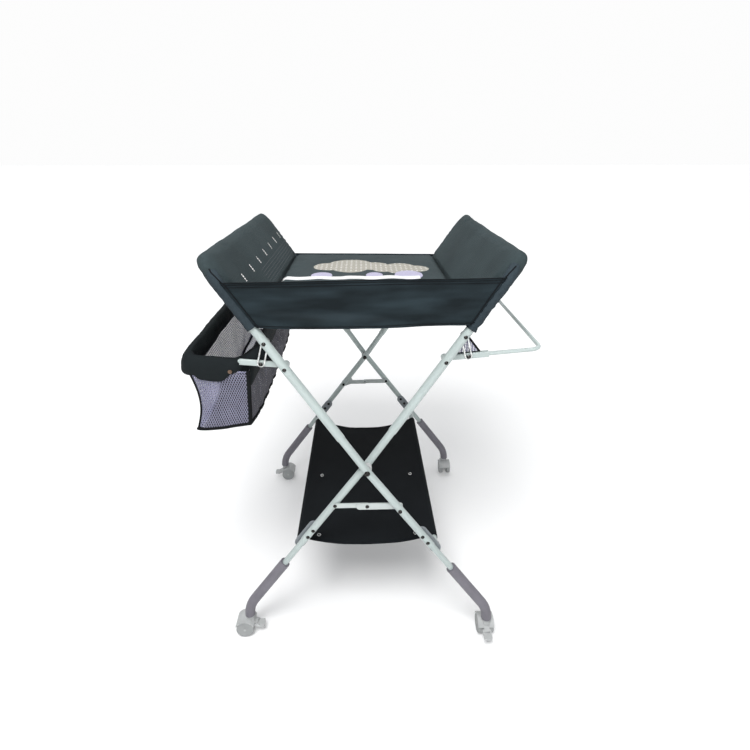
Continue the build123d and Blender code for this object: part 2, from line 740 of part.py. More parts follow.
nodes["basket_rim"] = [basket_rim()]
nodes["basket_bag"] = [basket_bag()]
nodes["basket_snaps"] = [basket_snap(face) for face in (-1, 1)]
nodes["towel_gussets"] = [towel_gusset(face) for face in (-1, 1)]
nodes["left_end_panel"] = [end_panel(OUTER)]
nodes["right_end_panel"] = [end_panel(INNER)]
nodes["front_apron"] = [apron(-1, apron_bottom_height, apron_top_height)]
nodes["rear_apron"] = [apron(1, rear_apron_bottom_height, pad_top_height)]
nodes["centre_pad"] = [centre_pad()]
nodes["shelf_sling"] = [shelf_sling()]

for name, (frame, face, heading) in caster_places.items():
    place = Pos(-frame * foot_reach, face * leg_depth(frame), 0) * Rot(Z=heading)
    for suffix, solids in (("", caster_body()), ("_wheels", caster_wheels()), ("_pedal", caster_pedal())):
        nodes[f"{name}_caster{suffix}"] = [place * solid for solid in solids]

# The origin is below the middle of the whole table, which the basket makes wider on the left
left = min(piece.bounding_box().min.X for pieces in nodes.values() for piece in pieces)
right = max(piece.bounding_box().max.X for pieces in nodes.values() for piece in pieces)
frame_shift = -(left + right) / 2
print(f"crossing is at x = {frame_shift:.3f}")

for node, pieces in nodes.items():
    solids = [Pos(frame_shift, 0, 0) * solid for piece in pieces for solid in piece.solids()]
    shape = solids[0] if len(solids) == 1 else Compound(children=solids)
    export_step(shape, f"parts/{node}.step")
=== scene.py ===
"""Looks for the folding changing table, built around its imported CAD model.

Lengths are in metres. The table stands on z = 0, X runs along it and its front faces -Y.
The outer frame rises to the left hoop and the inner frame to the right one.
"""

import json
from math import atan2, cos, hypot, pi, radians, sin

import bmesh
import bpy
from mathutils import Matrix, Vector, noise


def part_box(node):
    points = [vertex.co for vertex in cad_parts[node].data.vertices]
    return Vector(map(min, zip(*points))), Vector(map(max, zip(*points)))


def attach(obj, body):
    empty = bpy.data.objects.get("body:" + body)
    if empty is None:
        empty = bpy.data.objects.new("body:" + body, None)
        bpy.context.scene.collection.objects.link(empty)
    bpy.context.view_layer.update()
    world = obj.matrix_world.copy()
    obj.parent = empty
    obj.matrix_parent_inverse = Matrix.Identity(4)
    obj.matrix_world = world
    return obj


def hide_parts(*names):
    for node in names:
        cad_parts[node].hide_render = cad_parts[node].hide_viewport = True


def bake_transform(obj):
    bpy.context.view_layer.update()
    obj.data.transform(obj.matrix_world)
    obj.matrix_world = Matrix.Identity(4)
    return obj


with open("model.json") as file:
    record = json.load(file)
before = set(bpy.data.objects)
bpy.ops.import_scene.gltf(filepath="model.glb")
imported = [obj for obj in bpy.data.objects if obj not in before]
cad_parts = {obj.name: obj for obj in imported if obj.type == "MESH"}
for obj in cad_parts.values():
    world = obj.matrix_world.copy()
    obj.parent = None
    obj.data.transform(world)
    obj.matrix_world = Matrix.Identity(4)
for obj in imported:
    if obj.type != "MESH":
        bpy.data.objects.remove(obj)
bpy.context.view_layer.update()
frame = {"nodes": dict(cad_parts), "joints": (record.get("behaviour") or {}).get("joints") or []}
joints = {joint["name"]: joint for joint in frame["joints"]}

# Places taken from the frame
crossing = Vector(joints["frame_fold"]["pos_m"])
arm_pivot = Vector(joints["towel_fold"]["pos_m"])
stay_anchor = Vector(joints["towel_stay_swing"]["pos_m"])
up = atan2(arm_pivot.z - crossing.z, arm_pivot.x - crossing.x)
OUTER = -1
INNER = 1
names = {OUTER: "outer", INNER: "inner"}
bodies = {OUTER: "outer_frame", INNER: "inner_frame"}
leg_boxes = {side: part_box(f"{names[side]}_rear_leg") for side in (OUTER, INNER)}
leg_depth = {side: (low.y + high.y) / 2 for side, (low, high) in leg_boxes.items()}
hoop_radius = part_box("outer_hoop")[1].y - leg_depth[OUTER]
pad_low, pad_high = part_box("centre_pad")
apron_low, apron_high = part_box("front_apron")
bar_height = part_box("outer_hoop")[1].z - hoop_radius
bar_along = (bar_height - crossing.z) / sin(up)


def on_leg(side, along, inward, depth=0.0):
    """Point up a frame's leg line from the crossing, moved inward towards the pad."""
    x = along * cos(up) - inward * sin(up)
    return Vector((crossing.x + side * x, depth, crossing.z + along * sin(up) + inward * cos(up)))


# Mesh helpers

def smooth_faces(mesh):
    """Shade every face smooth."""
    mesh.polygons.foreach_set("use_smooth", [True] * len(mesh.polygons))


def mesh_object(name, verts, faces, uvs=None):
    """New smooth object from points and faces, with a UV for each point if given."""
    mesh = bpy.data.meshes.new(name)
    mesh.from_pydata([tuple(v) for v in verts], [], faces)
    if uvs:
        layer = mesh.uv_layers.new(name="cloth")
        for loop in mesh.loops:
            layer.data[loop.index].uv = uvs[loop.vertex_index]
    smooth_faces(mesh)
    mesh.update()
    obj = bpy.data.objects.new(name, mesh)
    bpy.context.scene.collection.objects.link(obj)
    return obj


def grid(name, rows, cols, point, uv):
    """Grid of faces; point and uv are functions of two shares, each 0 to 1."""
    wide = cols + 1
    shares = [(i / rows, j / cols) for i in range(rows + 1) for j in range(wide)]
    faces = []
    for i in range(rows):
        for j in range(cols):
            corner = i * wide + j
            faces.append((corner, corner + 1, corner + wide + 1, corner + wide))
    return mesh_object(name, [point(a, b) for a, b in shares], faces, [uv(a, b) for a, b in shares])


def apply_modifiers(obj):
    """Bake an object's modifiers into its mesh."""
    bpy.context.view_layer.update()
    graph = bpy.context.evaluated_depsgraph_get()
    baked = bpy.data.meshes.new_from_object(obj.evaluated_get(graph), depsgraph=graph)
    obj.modifiers.clear()
    old = obj.data
    obj.data = baked
    bpy.data.meshes.remove(old)
    return obj


def thicken(obj, thickness):
    """Give a sheet a thickness, half to each side."""
    solid = obj.modifiers.new("thickness", "SOLIDIFY")
    solid.thickness = thickness
    solid.offset = 0.0
    return apply_modifiers(obj)


def ring_frames(points, closed):
    """Position and two cross directions at each point of a path, without twist."""
    count = len(points)
    tangents = []
    for i in range(count):
        ahead = points[(i + 1) % count] if closed or i < count - 1 else points[i]
        hole_shade = points[i - 1] if closed or i > 0 else points[i]
        tangents.append((ahead - hole_shade).normalized())
    start = Vector((0, 0, 1)) if abs(tangents[0].z) < 0.9 else Vector((1, 0, 0))
    side = tangents[0].cross(start).normalized()
    frames = []
    for point, tangent in zip(points, tangents):
        side = (side - tangent * side.dot(tangent)).normalized()
        frames.append((point, side, tangent.cross(side).normalized()))
    return frames


def tube(name, points, radius, sides, closed=False):
    """Round tube along points; radius is a number or a function of (share, angle)."""
    size = radius if callable(radius) else lambda share, angle: radius
    frames = ring_frames(points, closed)
    verts, faces = [], []
    last = len(frames) - 1
    for i, (middle, side, rise) in enumerate(frames):
        for k in range(sides):
            angle = 2 * pi * k / sides
            r = size(i / last, angle)
            verts.append(middle + side * (r * cos(angle)) + rise * (r * sin(angle)))
    loops = len(frames) if closed else last
    for i in range(loops):
        for k in range(sides):
            a, b = i * sides, ((i + 1) % len(frames)) * sides
            n = (k + 1) % sides
            faces.append((a + k, a + n, b + n, b + k))
    if not closed:
        faces.append(tuple(range(sides - 1, -1, -1)))
        faces.append(tuple(last * sides + k for k in range(sides)))
    return mesh_object(name, verts, faces)


def join(name, objects):
    """Join objects into one."""
    target = bmesh.new()
    materials = []
    for obj in objects:
        offset = len(materials)
        materials += list(obj.data.materials) or [None]
        start = len(target.faces)
        target.from_mesh(obj.data)
        target.faces.ensure_lookup_table()
        for face in target.faces[start:]:
            face.material_index += offset
        bpy.data.objects.remove(obj)
    mesh = bpy.data.meshes.new(name)
    target.to_mesh(mesh)
    target.free()
    joined = bpy.data.objects.new(name, mesh)
    bpy.context.scene.collection.objects.link(joined)
    if any(materials):
        for material in materials:
            mesh.materials.append(material)
    return joined


def wobble(point, scale, seed):
    """Smooth noise from -1 to 1."""
    return noise.noise(Vector(point) / scale + Vector((seed, seed * 1.7, -seed)))


def smoothstep(low, high, value):
    """0 below low, 1 above high, smooth between."""
    t = min(1.0, max(0.0, (value - low) / (high - low)))
    return t * t * (3 - 2 * t)


# Materials

def new_material(name, color, roughness, metallic=0.0):
    """Principled material and its node tree."""
    material = bpy.data.materials.new(name)
    material.use_nodes = True
    tree = material.node_tree
    shader = tree.nodes["Principled BSDF"]
    shader.inputs["Base Color"].default_value = (*color, 1)
    shader.inputs["Roughness"].default_value = roughness
    shader.inputs["Metallic"].default_value = metallic
    return material, tree, shader


def node(tree, kind, settings=(), **values):
    """Add a node, set its properties and link or set its inputs."""
    made = tree.nodes.new(kind)
    for key, value in dict(settings).items():
        setattr(made, key, value)
    for key, value in values.items():
        socket = made.inputs[int(key[1:]) if key[0] == "i" and key[1:].isdigit() else key]
        if isinstance(value, bpy.types.NodeSocket):
            tree.links.new(value, socket)
        else:
            socket.default_value = value
    return made


def coordinates(tree, kind="Object", scale=(1, 1, 1)):
    """Texture coordinates, scaled."""
    source = tree.nodes.new("ShaderNodeTexCoord").outputs[kind]
    return node(tree, "ShaderNodeMapping", i0=source, Scale=scale).outputs[0]


def noise_value(tree, vector, scale, detail):
    """Noise texture's value."""
    return node(tree, "ShaderNodeTexNoise", Vector=vector, Scale=scale, Detail=detail).outputs["Fac"]


def math(tree, operation, a, b=0.0):
    """Math node's value."""
    return node(tree, "ShaderNodeMath", {"operation": operation}, i0=a, i1=b).outputs[0]


def vector_math(tree, operation, **values):
    """Outputs of a vector math node."""
    return node(tree, "ShaderNodeVectorMath", {"operation": operation}, **values).outputs


def ramp(tree, value, stops):
    """Colour ramp through (place, colour) stops; a single number is a grey."""
    made = node(tree, "ShaderNodeValToRGB", i0=value)
    elements = made.color_ramp.elements
    while len(elements) < len(stops):
        elements.new(0.5)
    for element, (place, color) in zip(elements, stops):
        element.position = place
        element.color = (*color, 1) if isinstance(color, tuple) else (color, color, color, 1)
    return made.outputs[0]


def mix_color(tree, share, a, b):
    """Mix of two colours."""
    made = node(tree, "ShaderNodeMix", {"data_type": "RGBA"})
    for socket, value in ((made.inputs[0], share), (made.inputs[6], a), (made.inputs[7], b)):
        if isinstance(value, bpy.types.NodeSocket):
            tree.links.new(value, socket)
        else:
            socket.default_value = value if isinstance(value, float) else (*value, 1)
    return made.outputs[2]


def bump(tree, shader, height, distance, strength):
    """Bump from a height."""
    made = node(tree, "ShaderNodeBump", Height=height, Distance=distance, Strength=strength)
    tree.links.new(made.outputs[0], shader.inputs["Normal"])


def shaded(color, factor):
    """Colour times a factor."""
    return tuple(min(1.0, c * factor) for c in color)


def paint_material(name, color):
    """Satin powder coat with fine orange peel, small scuffs and a little dirt."""
    material, tree, shader = new_material(name, color, 0.36)
    place = coordinates(tree)
    clouds = noise_value(tree, place, 14.0, 3.0)
    scuffs = noise_value(tree, place, 420.0, 2.0)
    base = ramp(tree, clouds, [(0.3, shaded(color, 0.93)), (0.7, shaded(color, 1.05))])
    marks = ramp(tree, scuffs, [(0.70, 0), (0.78, 1)])
    tree.links.new(mix_color(tree, marks, base, shaded(color, 0.78)), shader.inputs["Base Color"])
    rough = ramp(tree, clouds, [(0.3, 0.3), (0.7, 0.44)])
    tree.links.new(rough, shader.inputs["Roughness"])
    bump(tree, shader, noise_value(tree, place, 900.0, 2.0), 0.0002, 0.25)
    shader.inputs["Coat Weight"].default_value = 0.25
    shader.inputs["Coat Roughness"].default_value = 0.2
    return material


def plastic_material(name, color, roughness=0.55):
    """Moulded plastic with a fine grain."""
    material, tree, shader = new_material(name, color, roughness)
    place = coordinates(tree)
    clouds = noise_value(tree, place, 30.0, 4.0)
    base = ramp(tree, clouds, [(0.3, shaded(color, 0.86)), (0.7, shaded(color, 1.1))])
    tree.links.new(base, shader.inputs["Base Color"])
    rough = ramp(tree, clouds, [(0.2, roughness - 0.08), (0.8, roughness + 0.1)])
    tree.links.new(rough, shader.inputs["Roughness"])
    bump(tree, shader, noise_value(tree, place, 1400.0, 3.0), 0.0002, 0.35)
    return material


def metal_material(name, color, roughness):
    """Plated steel with fine brushing and darker stains."""
    material, tree, shader = new_material(name, color, roughness, 1.0)
    brush = noise_value(tree, coordinates(tree, scale=(300, 60, 300)), 8.0, 3.0)
    stains = noise_value(tree, coordinates(tree), 160.0, 3.0)
    base = ramp(tree, stains, [(0.35, shaded(color, 0.6)), (0.62, color)])
    tree.links.new(base, shader.inputs["Base Color"])
    rough = ramp(tree, brush, [(0.3, roughness - 0.08), (0.7, roughness + 0.14)])
    tree.links.new(rough, shader.inputs["Roughness"])
    bump(tree, shader, brush, 0.0001, 0.15)
    return material


def weave_height(tree, kind, pitch):
    """Height of a plain weave: threads over and under in two directions."""
    place = coordinates(tree, kind, (1 / pitch,) * 3)
    parts = node(tree, "ShaderNodeSeparateXYZ", i0=place).outputs
    waves = [math(tree, "SINE", math(tree, "MULTIPLY", part, 2 * pi)) for part in parts]
    total = math(tree, "MULTIPLY", waves[0], waves[1])
    if kind == "Object":
        total = math(tree, "ADD", total, math(tree, "MULTIPLY", waves[1], waves[2]))
        total = math(tree, "ADD", total, math(tree, "MULTIPLY", waves[2], waves[0]))
    return total


def fabric_material(name, color, kind="Object", pitch=0.0011, roughness=0.8, gloss=0.12, overlay=None):
    """Woven polyester: threads, slubs and slow changes of tone, with an optional overlay over it, which is a
    print on the left panel and the pad, and painted fold light and shade on the apron.
    """
    material, tree, shader = new_material(name, color, roughness)
    weave = weave_height(tree, kind, pitch)
    place = coordinates(tree)
    tone = noise_value(tree, place, 7.0, 3.0)
    slubs = noise_value(tree, coordinates(tree, scale=(1, 1, 6)), 260.0, 2.0)
    base = ramp(tree, tone, [(0.3, shaded(color, 0.86)), (0.7, shaded(color, 1.14))])
    dust = ramp(tree, slubs, [(0.64, 0), (0.8, 0.3)])
    cloth = mix_color(tree, dust, base, shaded(color, 2.0))
    if overlay:
        cloth = overlay(tree, cloth)
    threads = ramp(tree, weave, [(0.0, 0.74), (1.0, 1.08)])
    toned = node(tree, "ShaderNodeMix", {"data_type": "RGBA", "blend_type": "MULTIPLY"})
    toned.inputs[0].default_value = 1.0
    tree.links.new(cloth, toned.inputs[6])
    tree.links.new(threads, toned.inputs[7])
    tree.links.new(toned.outputs[2], shader.inputs["Base Color"])
    height = math(tree, "ADD", weave, math(tree, "MULTIPLY", slubs, 0.8))
    bump(tree, shader, height, 0.0003, 0.3)
    shader.inputs["Specular IOR Level"].default_value = gloss
    return material


def axis_value(tree, direction, offset=0.0):
    """Distance along a direction, less an offset."""
    place = tree.nodes.new("ShaderNodeTexCoord").outputs["Object"]
    distance = vector_math(tree, "DOT_PRODUCT", i0=place, i1=direction)["Value"]
    return math(tree, "SUBTRACT", distance, offset)


def inside(tree, value, low, high):
    """1 where a value lies between two limits."""
    above = math(tree, "GREATER_THAN", value, low)
    return math(tree, "MULTIPLY", above, math(tree, "LESS_THAN", value, high))


def both(tree, *shares):
    """Product of shares."""
    total = shares[0]
    for share in shares[1:]:
        total = math(tree, "MULTIPLY", total, share)
    return total


def row_mark(tree, value, pitch, half, offset=0.0):
    """1 within half of the nearest mark along an evenly spaced row."""
    shifted = math(tree, "ADD", value, 10 * pitch + pitch / 2 + offset)
    return math(tree, "LESS_THAN", math(tree, "PINGPONG", shifted, pitch / 2), half)


def perforations(side):
    """Print of short white stitches and faint dots inside the left panel; the right one has none."""
    def overlay(tree, cloth):
        line = (side * cos(up), 0, sin(up))
        along = axis_value(tree, line, Vector(line).dot(crossing))
        depth = axis_value(tree, (0, 1, 0))
        inward = (-side * sin(up), 0, cos(up))
        height = axis_value(tree, inward, Vector(inward).dot(crossing))
        facing = math(tree, "GREATER_THAN", height, 0.004)
        slant = math(tree, "ADD", along, math(tree, "MULTIPLY", depth, -0.015))
        near_along = row_mark(tree, slant, 0.0066, 0.0023)
        near_depth = row_mark(tree, depth, 0.085, 0.0034, 0.0275)
        stitches = both(tree, facing, near_along, near_depth,
                        inside(tree, slant, 0.5110, 0.5310), inside(tree, depth, -0.26, 0.29))
        row_dots = both(tree, facing, row_mark(tree, along, 0.0085, 0.0012),
                        row_mark(tree, depth, 0.0150, 0.0036),
                        inside(tree, along, 0.452, 0.504), inside(tree, depth, -0.11, 0.30))
        faint = mix_color(tree, math(tree, "MULTIPLY", row_dots, 0.5), cloth, (0.16, 0.17, 0.19))
        return mix_color(tree, stitches, faint, (0.92, 0.92, 0.90))

    return overlay if side == OUTER else None


def painted_fold_light(tree, cloth):
    """Painted light and shade of folds: soft darker and lighter streaks across the cloth."""
    streaks = noise_value(tree, coordinates(tree, "UV", (5.5, 30, 1)), 1.0, 2.0)
    share = ramp(tree, streaks, [(0.36, 0), (0.66, 1)])
    # dark and light copies of the cloth colour: painted fold shade and painted fold highlight
    tones = [vector_math(tree, "SCALE", i0=cloth, Scale=factor)[0] for factor in (0.62, 1.55)]
    return mix_color(tree, share, *tones)


def spot(tree, place, x, y, radius, squeeze=1.0):
    """Positive inside a round or oval spot."""
    shifted = vector_math(tree, "SUBTRACT", i0=place, i1=(x, y, 0))[0]
    scaled = vector_math(tree, "MULTIPLY", i0=shifted, i1=(1, squeeze, 0))[0]
    return math(tree, "SUBTRACT", radius, vector_math(tree, "LENGTH", i0=scaled)["Value"])


def any_of(tree, values):
    """1 where any value is positive."""
    total = values[0]
    for value in values[1:]:
        total = math(tree, "MAXIMUM", total, value)
    return math(tree, "GREATER_THAN", total, 0.0)


def clouds_print(tree, cloth):
    """Pad print: sand clouds with pale dots, lavender hills and a white wave."""
    uv = tree.nodes.new("ShaderNodeTexCoord").outputs["UV"]
    place = vector_math(tree, "MULTIPLY", i0=uv, i1=(1, 1, 0))[0]
    parts = node(tree, "ShaderNodeSeparateXYZ", i0=place).outputs
    puffs = ((-0.042, 0.0, 0.030), (0.0, 0.016, 0.044), (0.044, 0.002, 0.032), (0.0, -0.012, 0.036))
    clouds = []
    for x, y, size in ((-0.040, 0.150, 1.55), (0.108, 0.115, 1.15), (0.02, -0.12, 1.3), (-0.11, -0.24, 0.9)):
        for dx, dy, radius in puffs:
            clouds.append(spot(tree, place, x + dx * size, y + dy * size, radius * size))
    cloud = any_of(tree, clouds)
    dots = both(tree, row_mark(tree, parts[0], 0.015, 0.0026), row_mark(tree, parts[1], 0.021, 0.0034))
    sand = mix_color(tree, dots, (0.38, 0.365, 0.32), (0.70, 0.69, 0.65))
    hill = any_of(tree, [spot(tree, place, x, 0.044, radius, 0.8) for x, radius in
                         ((-0.120, 0.030), (0.128, 0.040), (0.03, 0.024))])
    wave = math(tree, "MULTIPLY", math(tree, "SINE", math(tree, "MULTIPLY", parts[0], 62.0)), 0.004)
    height = math(tree, "ADD", parts[1], wave)
    band = both(tree, inside(tree, height, 0.002, 0.034), inside(tree, parts[0], -0.228, 0.158))
    overlay = mix_color(tree, cloud, cloth, sand)
    overlay = mix_color(tree, hill, overlay, (0.46, 0.44, 0.58))
    return mix_color(tree, band, overlay, (0.80, 0.80, 0.80))


def net_material(name, color, pitch, line, hole_shade=None):
    """Knitted net: threads on two slants with open holes between them, or with the holes filled with painted
    shade.
    """
    material, tree, shader = new_material(name, color, 0.7)
    place = coordinates(tree, "UV", (1 / pitch, 1 / pitch, 1))
    parts = node(tree, "ShaderNodeSeparateXYZ", i0=place).outputs
    slants = []
    for sign in (-0.6, 0.6):
        run = math(tree, "ADD", parts[0], math(tree, "MULTIPLY", parts[1], sign))
        slants.append(math(tree, "PINGPONG", run, 0.5))
    thread = math(tree, "MINIMUM", slants[0], slants[1])
    solid = math(tree, "LESS_THAN", thread, line / 2)
    tone = noise_value(tree, coordinates(tree), 25.0, 3.0)
    base = ramp(tree, tone, [(0.3, shaded(color, 0.8)), (0.7, shaded(color, 1.15))])
    # holes filled with painted shade instead of left open
    if hole_shade:
        tree.links.new(mix_color(tree, solid, hole_shade, base), shader.inputs["Base Color"])
    else:
        tree.links.new(base, shader.inputs["Base Color"])
        tree.links.new(solid, shader.inputs["Alpha"])
    bump(tree, shader, thread, 0.0003, 0.4)
    shader.inputs["Specular IOR Level"].default_value = 0.2
    return material


paint = paint_material("grey_paint", (0.37, 0.425, 0.415))
link_paint = paint_material("link_paint", (0.43, 0.47, 0.46))
foot_plastic = plastic_material("foot_plastic", (0.145, 0.138, 0.160))
bracket_plastic = plastic_material("bracket_plastic", (0.20, 0.22, 0.235))
caster_plastic = plastic_material("caster_plastic", (0.42, 0.43, 0.43))
wheel_plastic = plastic_material("wheel_plastic", (0.30, 0.31, 0.31), 0.6)
rivet_steel = metal_material("rivet_steel", (0.042, 0.040, 0.039), 0.20)
snap_steel = metal_material("snap_steel", (0.17, 0.115, 0.085), 0.26)
wire_steel = metal_material("wire_steel", (0.78, 0.79, 0.78), 0.25)
# The apron sheet's colour carries painted fold light and shade.
charcoal_uv = fabric_material("charcoal_sheet", (0.0145, 0.0225, 0.027), "UV", gloss=0.07, roughness=0.5,
                              overlay=painted_fold_light)
shelf_cloth = fabric_material("shelf_cloth", (0.0075, 0.0095, 0.0115), "UV")
panel_cloth = {side: fabric_material(f"{names[side]}_panel_cloth", (0.038, 0.053, 0.057),
                                     overlay=perforations(side)) for side in (OUTER, INNER)}
pad_cloth_printed = fabric_material("printed_cloth", (0.045, 0.060, 0.064), overlay=clouds_print)
sleeve_cloth = fabric_material("sleeve_cloth", (0.032, 0.045, 0.054))
rim_cloth = fabric_material("rim_cloth", (0.010, 0.0135, 0.0150))
binding = fabric_material("black_binding", (0.0055, 0.0065, 0.0075), pitch=0.0016)
net = net_material("lavender_net", (0.19, 0.19, 0.27), 0.0056, 0.48)
inner_net = net_material("gathered_net", (0.090, 0.088, 0.104), 0.0036, 0.64)
# The doubled net's holes show painted shade, not the net behind them.
doubled_net = net_material("doubled_net", (0.22, 0.22, 0.30), 0.0060, 0.26, hole_shade=(0.022, 0.022, 0.030))
seam_thread = fabric_material("sewing_thread", (0.006, 0.008, 0.010), pitch=0.0005)


def use(obj, material, slot, body=None):
    """Give an object its material, and its body if it rides rigidly; the slot is not used."""
    obj.data.materials.clear()
    obj.data.materials.append(material)
    if body:
        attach(obj, body)


def use_cad(material, *nodes):
    """Give CAD nodes a material."""
    for name in nodes:
        mesh = frame["nodes"][name].data
        mesh.materials.clear()
        mesh.materials.append(material)
        mesh.polygons.foreach_set("material_index", [0] * len(mesh.polygons))


def bend_with_frames(obj):
    """Bake the transform of fabric between the frames into its mesh; the outer frame is left above the
    crossing and right below it.
    """
    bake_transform(obj)


# Metal and plastic that keep their CAD shape
for side in (OUTER, INNER):
    name = names[side]
    use_cad(paint, *[f"{name}_{part}" for part in ("hoop", "front_leg", "rear_leg", "leg_ends", "shelf_bar")])
    use_cad(rivet_steel, f"{name}_frame_rivets")
    use_cad(foot_plastic, f"{name}_front_foot", f"{name}_rear_foot")
    use_cad(bracket_plastic, f"{name}_shelf_brackets")
use_cad(rivet_steel, "frame_pivots", "front_brace_pin", "rear_brace_pin")
use_cad(caster_plastic, "pivot_spacers")
for end in ("front", "rear"):
    use_cad(link_paint, f"{end}_brace_left_link", f"{end}_brace_right_link")
for rail in ("basket", "towel"):
    use_cad(paint, f"{rail}_front_arm", f"{rail}_rear_arm", f"{rail}_rail")
    use_cad(wire_steel, f"{rail}_stays")
    use_cad(rivet_steel, f"{rail}_arm_rivets")
use_cad(snap_steel, "basket_snaps")
for place in ("front_left", "front_right", "rear_left", "rear_right"):
    use_cad(caster_plastic, f"{place}_caster", f"{place}_caster_pedal")
    use_cad(wheel_plastic, f"{place}_caster_wheels")


# End panels

puff_frames = 20


def cloth_puff(obj, pressure, cap, pinned):
    """Inflate a closed cloth piece, held where pinned says, and keep moves of up to the cap."""
    rest = [v.co.copy() for v in obj.data.vertices]
    group = obj.vertex_groups.new(name="pin")
    group.add([i for i, co in enumerate(rest) if pinned(co)], 1.0, "REPLACE")
    cloth = obj.modifiers.new("cloth", "CLOTH")
    cloth.settings.use_pressure = True
    cloth.settings.uniform_pressure_force = pressure
    cloth.settings.effector_weights.gravity = 0
    cloth.settings.quality = 5
    cloth.settings.vertex_group_mass = "pin"
    scene = bpy.context.scene
    for step in range(1, puff_frames + 1):
        scene.frame_set(step)
    graph = bpy.context.evaluated_depsgraph_get()
    moved = obj.evaluated_get(graph).to_mesh()
    places = [v.co.copy() for v in moved.vertices]
    obj.evaluated_get(graph).to_mesh_clear()
    obj.modifiers.clear()
    for vertex, before, after in zip(obj.data.vertices, rest, places):
        shift = after - before
        if shift.length > cap:
            shift *= cap / shift.length
        vertex.co = before + shift
    obj.data.update()
    scene.frame_set(1)


def remesh(obj, voxel):
    """Even mesh over a closed shape."""
    made = obj.modifiers.new("remesh", "REMESH")
    made.mode = "VOXEL"
    made.voxel_size = voxel
    made.use_smooth_shade = True
    apply_modifiers(obj)


panel_corner = 0.034
panel_inner = 0.0130
panel_low_along = 0.424
panel_rise = {OUTER: 0.0285, INNER: 0.0225}
panel_swell = {OUTER: (0.0165, 0.0225), INNER: (0.0195, 0.0140)}


def panel_outline(side):
    """(along, depth) points round an end panel, with round upper corners."""
    half = leg_depth[side] + 0.004
    top = bar_along + panel_rise[side]
    points = [(panel_low_along, -half)]
    for face, start in ((-1, 0), (1, pi / 2)):
        for i in range(9):
            angle = start + i * pi / 16
            y = face * (half - panel_corner) - panel_corner * cos(angle)
            points.append((top - panel_corner + panel_corner * sin(angle), y))
    points.append((panel_low_along, half))
    return points


def end_panel(side):
    """Padded panel that wraps a hoop's bar."""
    outline = panel_outline(side)
    near, far = panel_swell[side]
    count = len(outline)
    verts = [on_leg(side, along, panel_inner, depth) for along, depth in outline]
    for along, depth in outline:
        share = (depth / leg_depth[side] + 1) / 2
        verts.append(on_leg(side, along, -near - (far - near) * share, depth))
    faces = [tuple(range(count)), tuple(range(2 * count - 1, count - 1, -1))]
    faces += [(i, i + count, (i + 1) % count + count, (i + 1) % count) for i in range(count)]
    obj = mesh_object(f"{'left' if side == OUTER else 'right'}_panel", verts, faces)
    edit = bmesh.new()
    edit.from_mesh(obj.data)
    bmesh.ops.recalc_face_normals(edit, faces=edit.faces)
    edit.to_mesh(obj.data)
    edit.free()
    bevel = obj.modifiers.new("round", "BEVEL")
    bevel.width = 0.011
    bevel.segments = 4
    bevel.limit_method = "ANGLE"
    bevel.angle_limit = radians(50)
    apply_modifiers(obj)
    remesh(obj, 0.0055)
    middle = on_leg(side, 0, 0.002)
    low = panel_low_along + 0.012
    line = Vector((side * cos(up), 0, sin(up)))
    cloth_puff(obj, 3.5, 0.007, lambda co: (co - middle).dot(line) < low)
    for vertex in obj.data.vertices:
        co = vertex.co
        normal = vertex.normal
        ripple = 0.0011 * wobble(co, 0.05, side) + 0.0030 * wobble(co, 0.16, 3 + side)
        vertex.co = co + normal * ripple
    obj.modifiers.new("smooth", "SUBSURF").levels = 1
    apply_modifiers(obj)
    smooth_faces(obj.data)
    return obj


panels, sleeves_on = {}, {}
for side, name in ((OUTER, "left"), (INNER, "right")):
    panel = panels[side] = end_panel(side)
    use(panel, panel_cloth[side], "dark_fabric", bodies[side])
    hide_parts(f"{name}_end_panel")


# Sleeves on the legs, from below the panel to the hoop's corner

hoop_bend = 0.055
sleeve_low = {(OUTER, -1): 0.430, (INNER, -1): 0.409, (OUTER, 1): 0.418, (INNER, 1): 0.418}
sleeve_radius = 0.0124
sleeve_step = 0.002
sleeve_gather = {(OUTER, -1): 0.5, (INNER, -1): 1.15, (OUTER, 1): 1.0, (INNER, 1): 1.0}


def sleeve(side, face):
    """Sleeve round a leg, more or less gathered."""
    depth = leg_depth[side]
    start, gather = sleeve_low[side, face], sleeve_gather[side, face]
    stations = [start + i * sleeve_step for i in range(200)]
    straight = [on_leg(side, along, 0, face * depth) for along in stations if along < bar_along - hoop_bend]
    turn = []
    for i in range(1, 13):
        angle = i * pi / 24
        along = bar_along - hoop_bend + hoop_bend * sin(angle)
        turn.append(on_leg(side, along, 0, face * (depth - hoop_bend + hoop_bend * cos(angle))))
    points = straight + turn
    total = len(points)

    def radius(share, angle):
        fade = 1 - smoothstep(0.8, 1.0, share)
        along = share * total * sleeve_step
        wave = wobble((cos(angle) * 0.02, sin(angle) * 0.02, along * 3.2), 0.022, face + side)
        fine = sin(along * 2 * pi / 0.019 + 2.2 * sin(angle * 2 + along * 40))
        wrinkle = gather * (0.0012 * wave + 0.0006 * fine) * fade
        flare = 0.0010 * (1 - smoothstep(0.0, 0.02, share))
        return sleeve_radius + 0.0006 * fade + wrinkle + flare

    return tube(f"{names[side]}_sleeve", points, radius, 40)


for side in (OUTER, INNER):
    sleeves = join(f"{names[side]}_sleeves", [sleeve(side, -1), sleeve(side, 1)])
    sleeves_on[side] = sleeves
    use(sleeves, sleeve_cloth, "dark_fabric", bodies[side])
    smooth_faces(sleeves.data)


# Aprons

apron_width = 0.58
apron_overlap = 0.008
apron_offset = 0.0100  # leg's middle to the cloth
apron_thickness = 0.0018
deepest_fold = 0.0025  # a deeper one would meet the pad's edge


def apron_edge(side, face, height):
    """Where an apron meets a sleeve at a height."""
    along = (height - crossing.z - apron_overlap * cos(up)) / sin(up)
    return on_leg(side, along, apron_overlap, face * (leg_depth[side] + apron_offset))


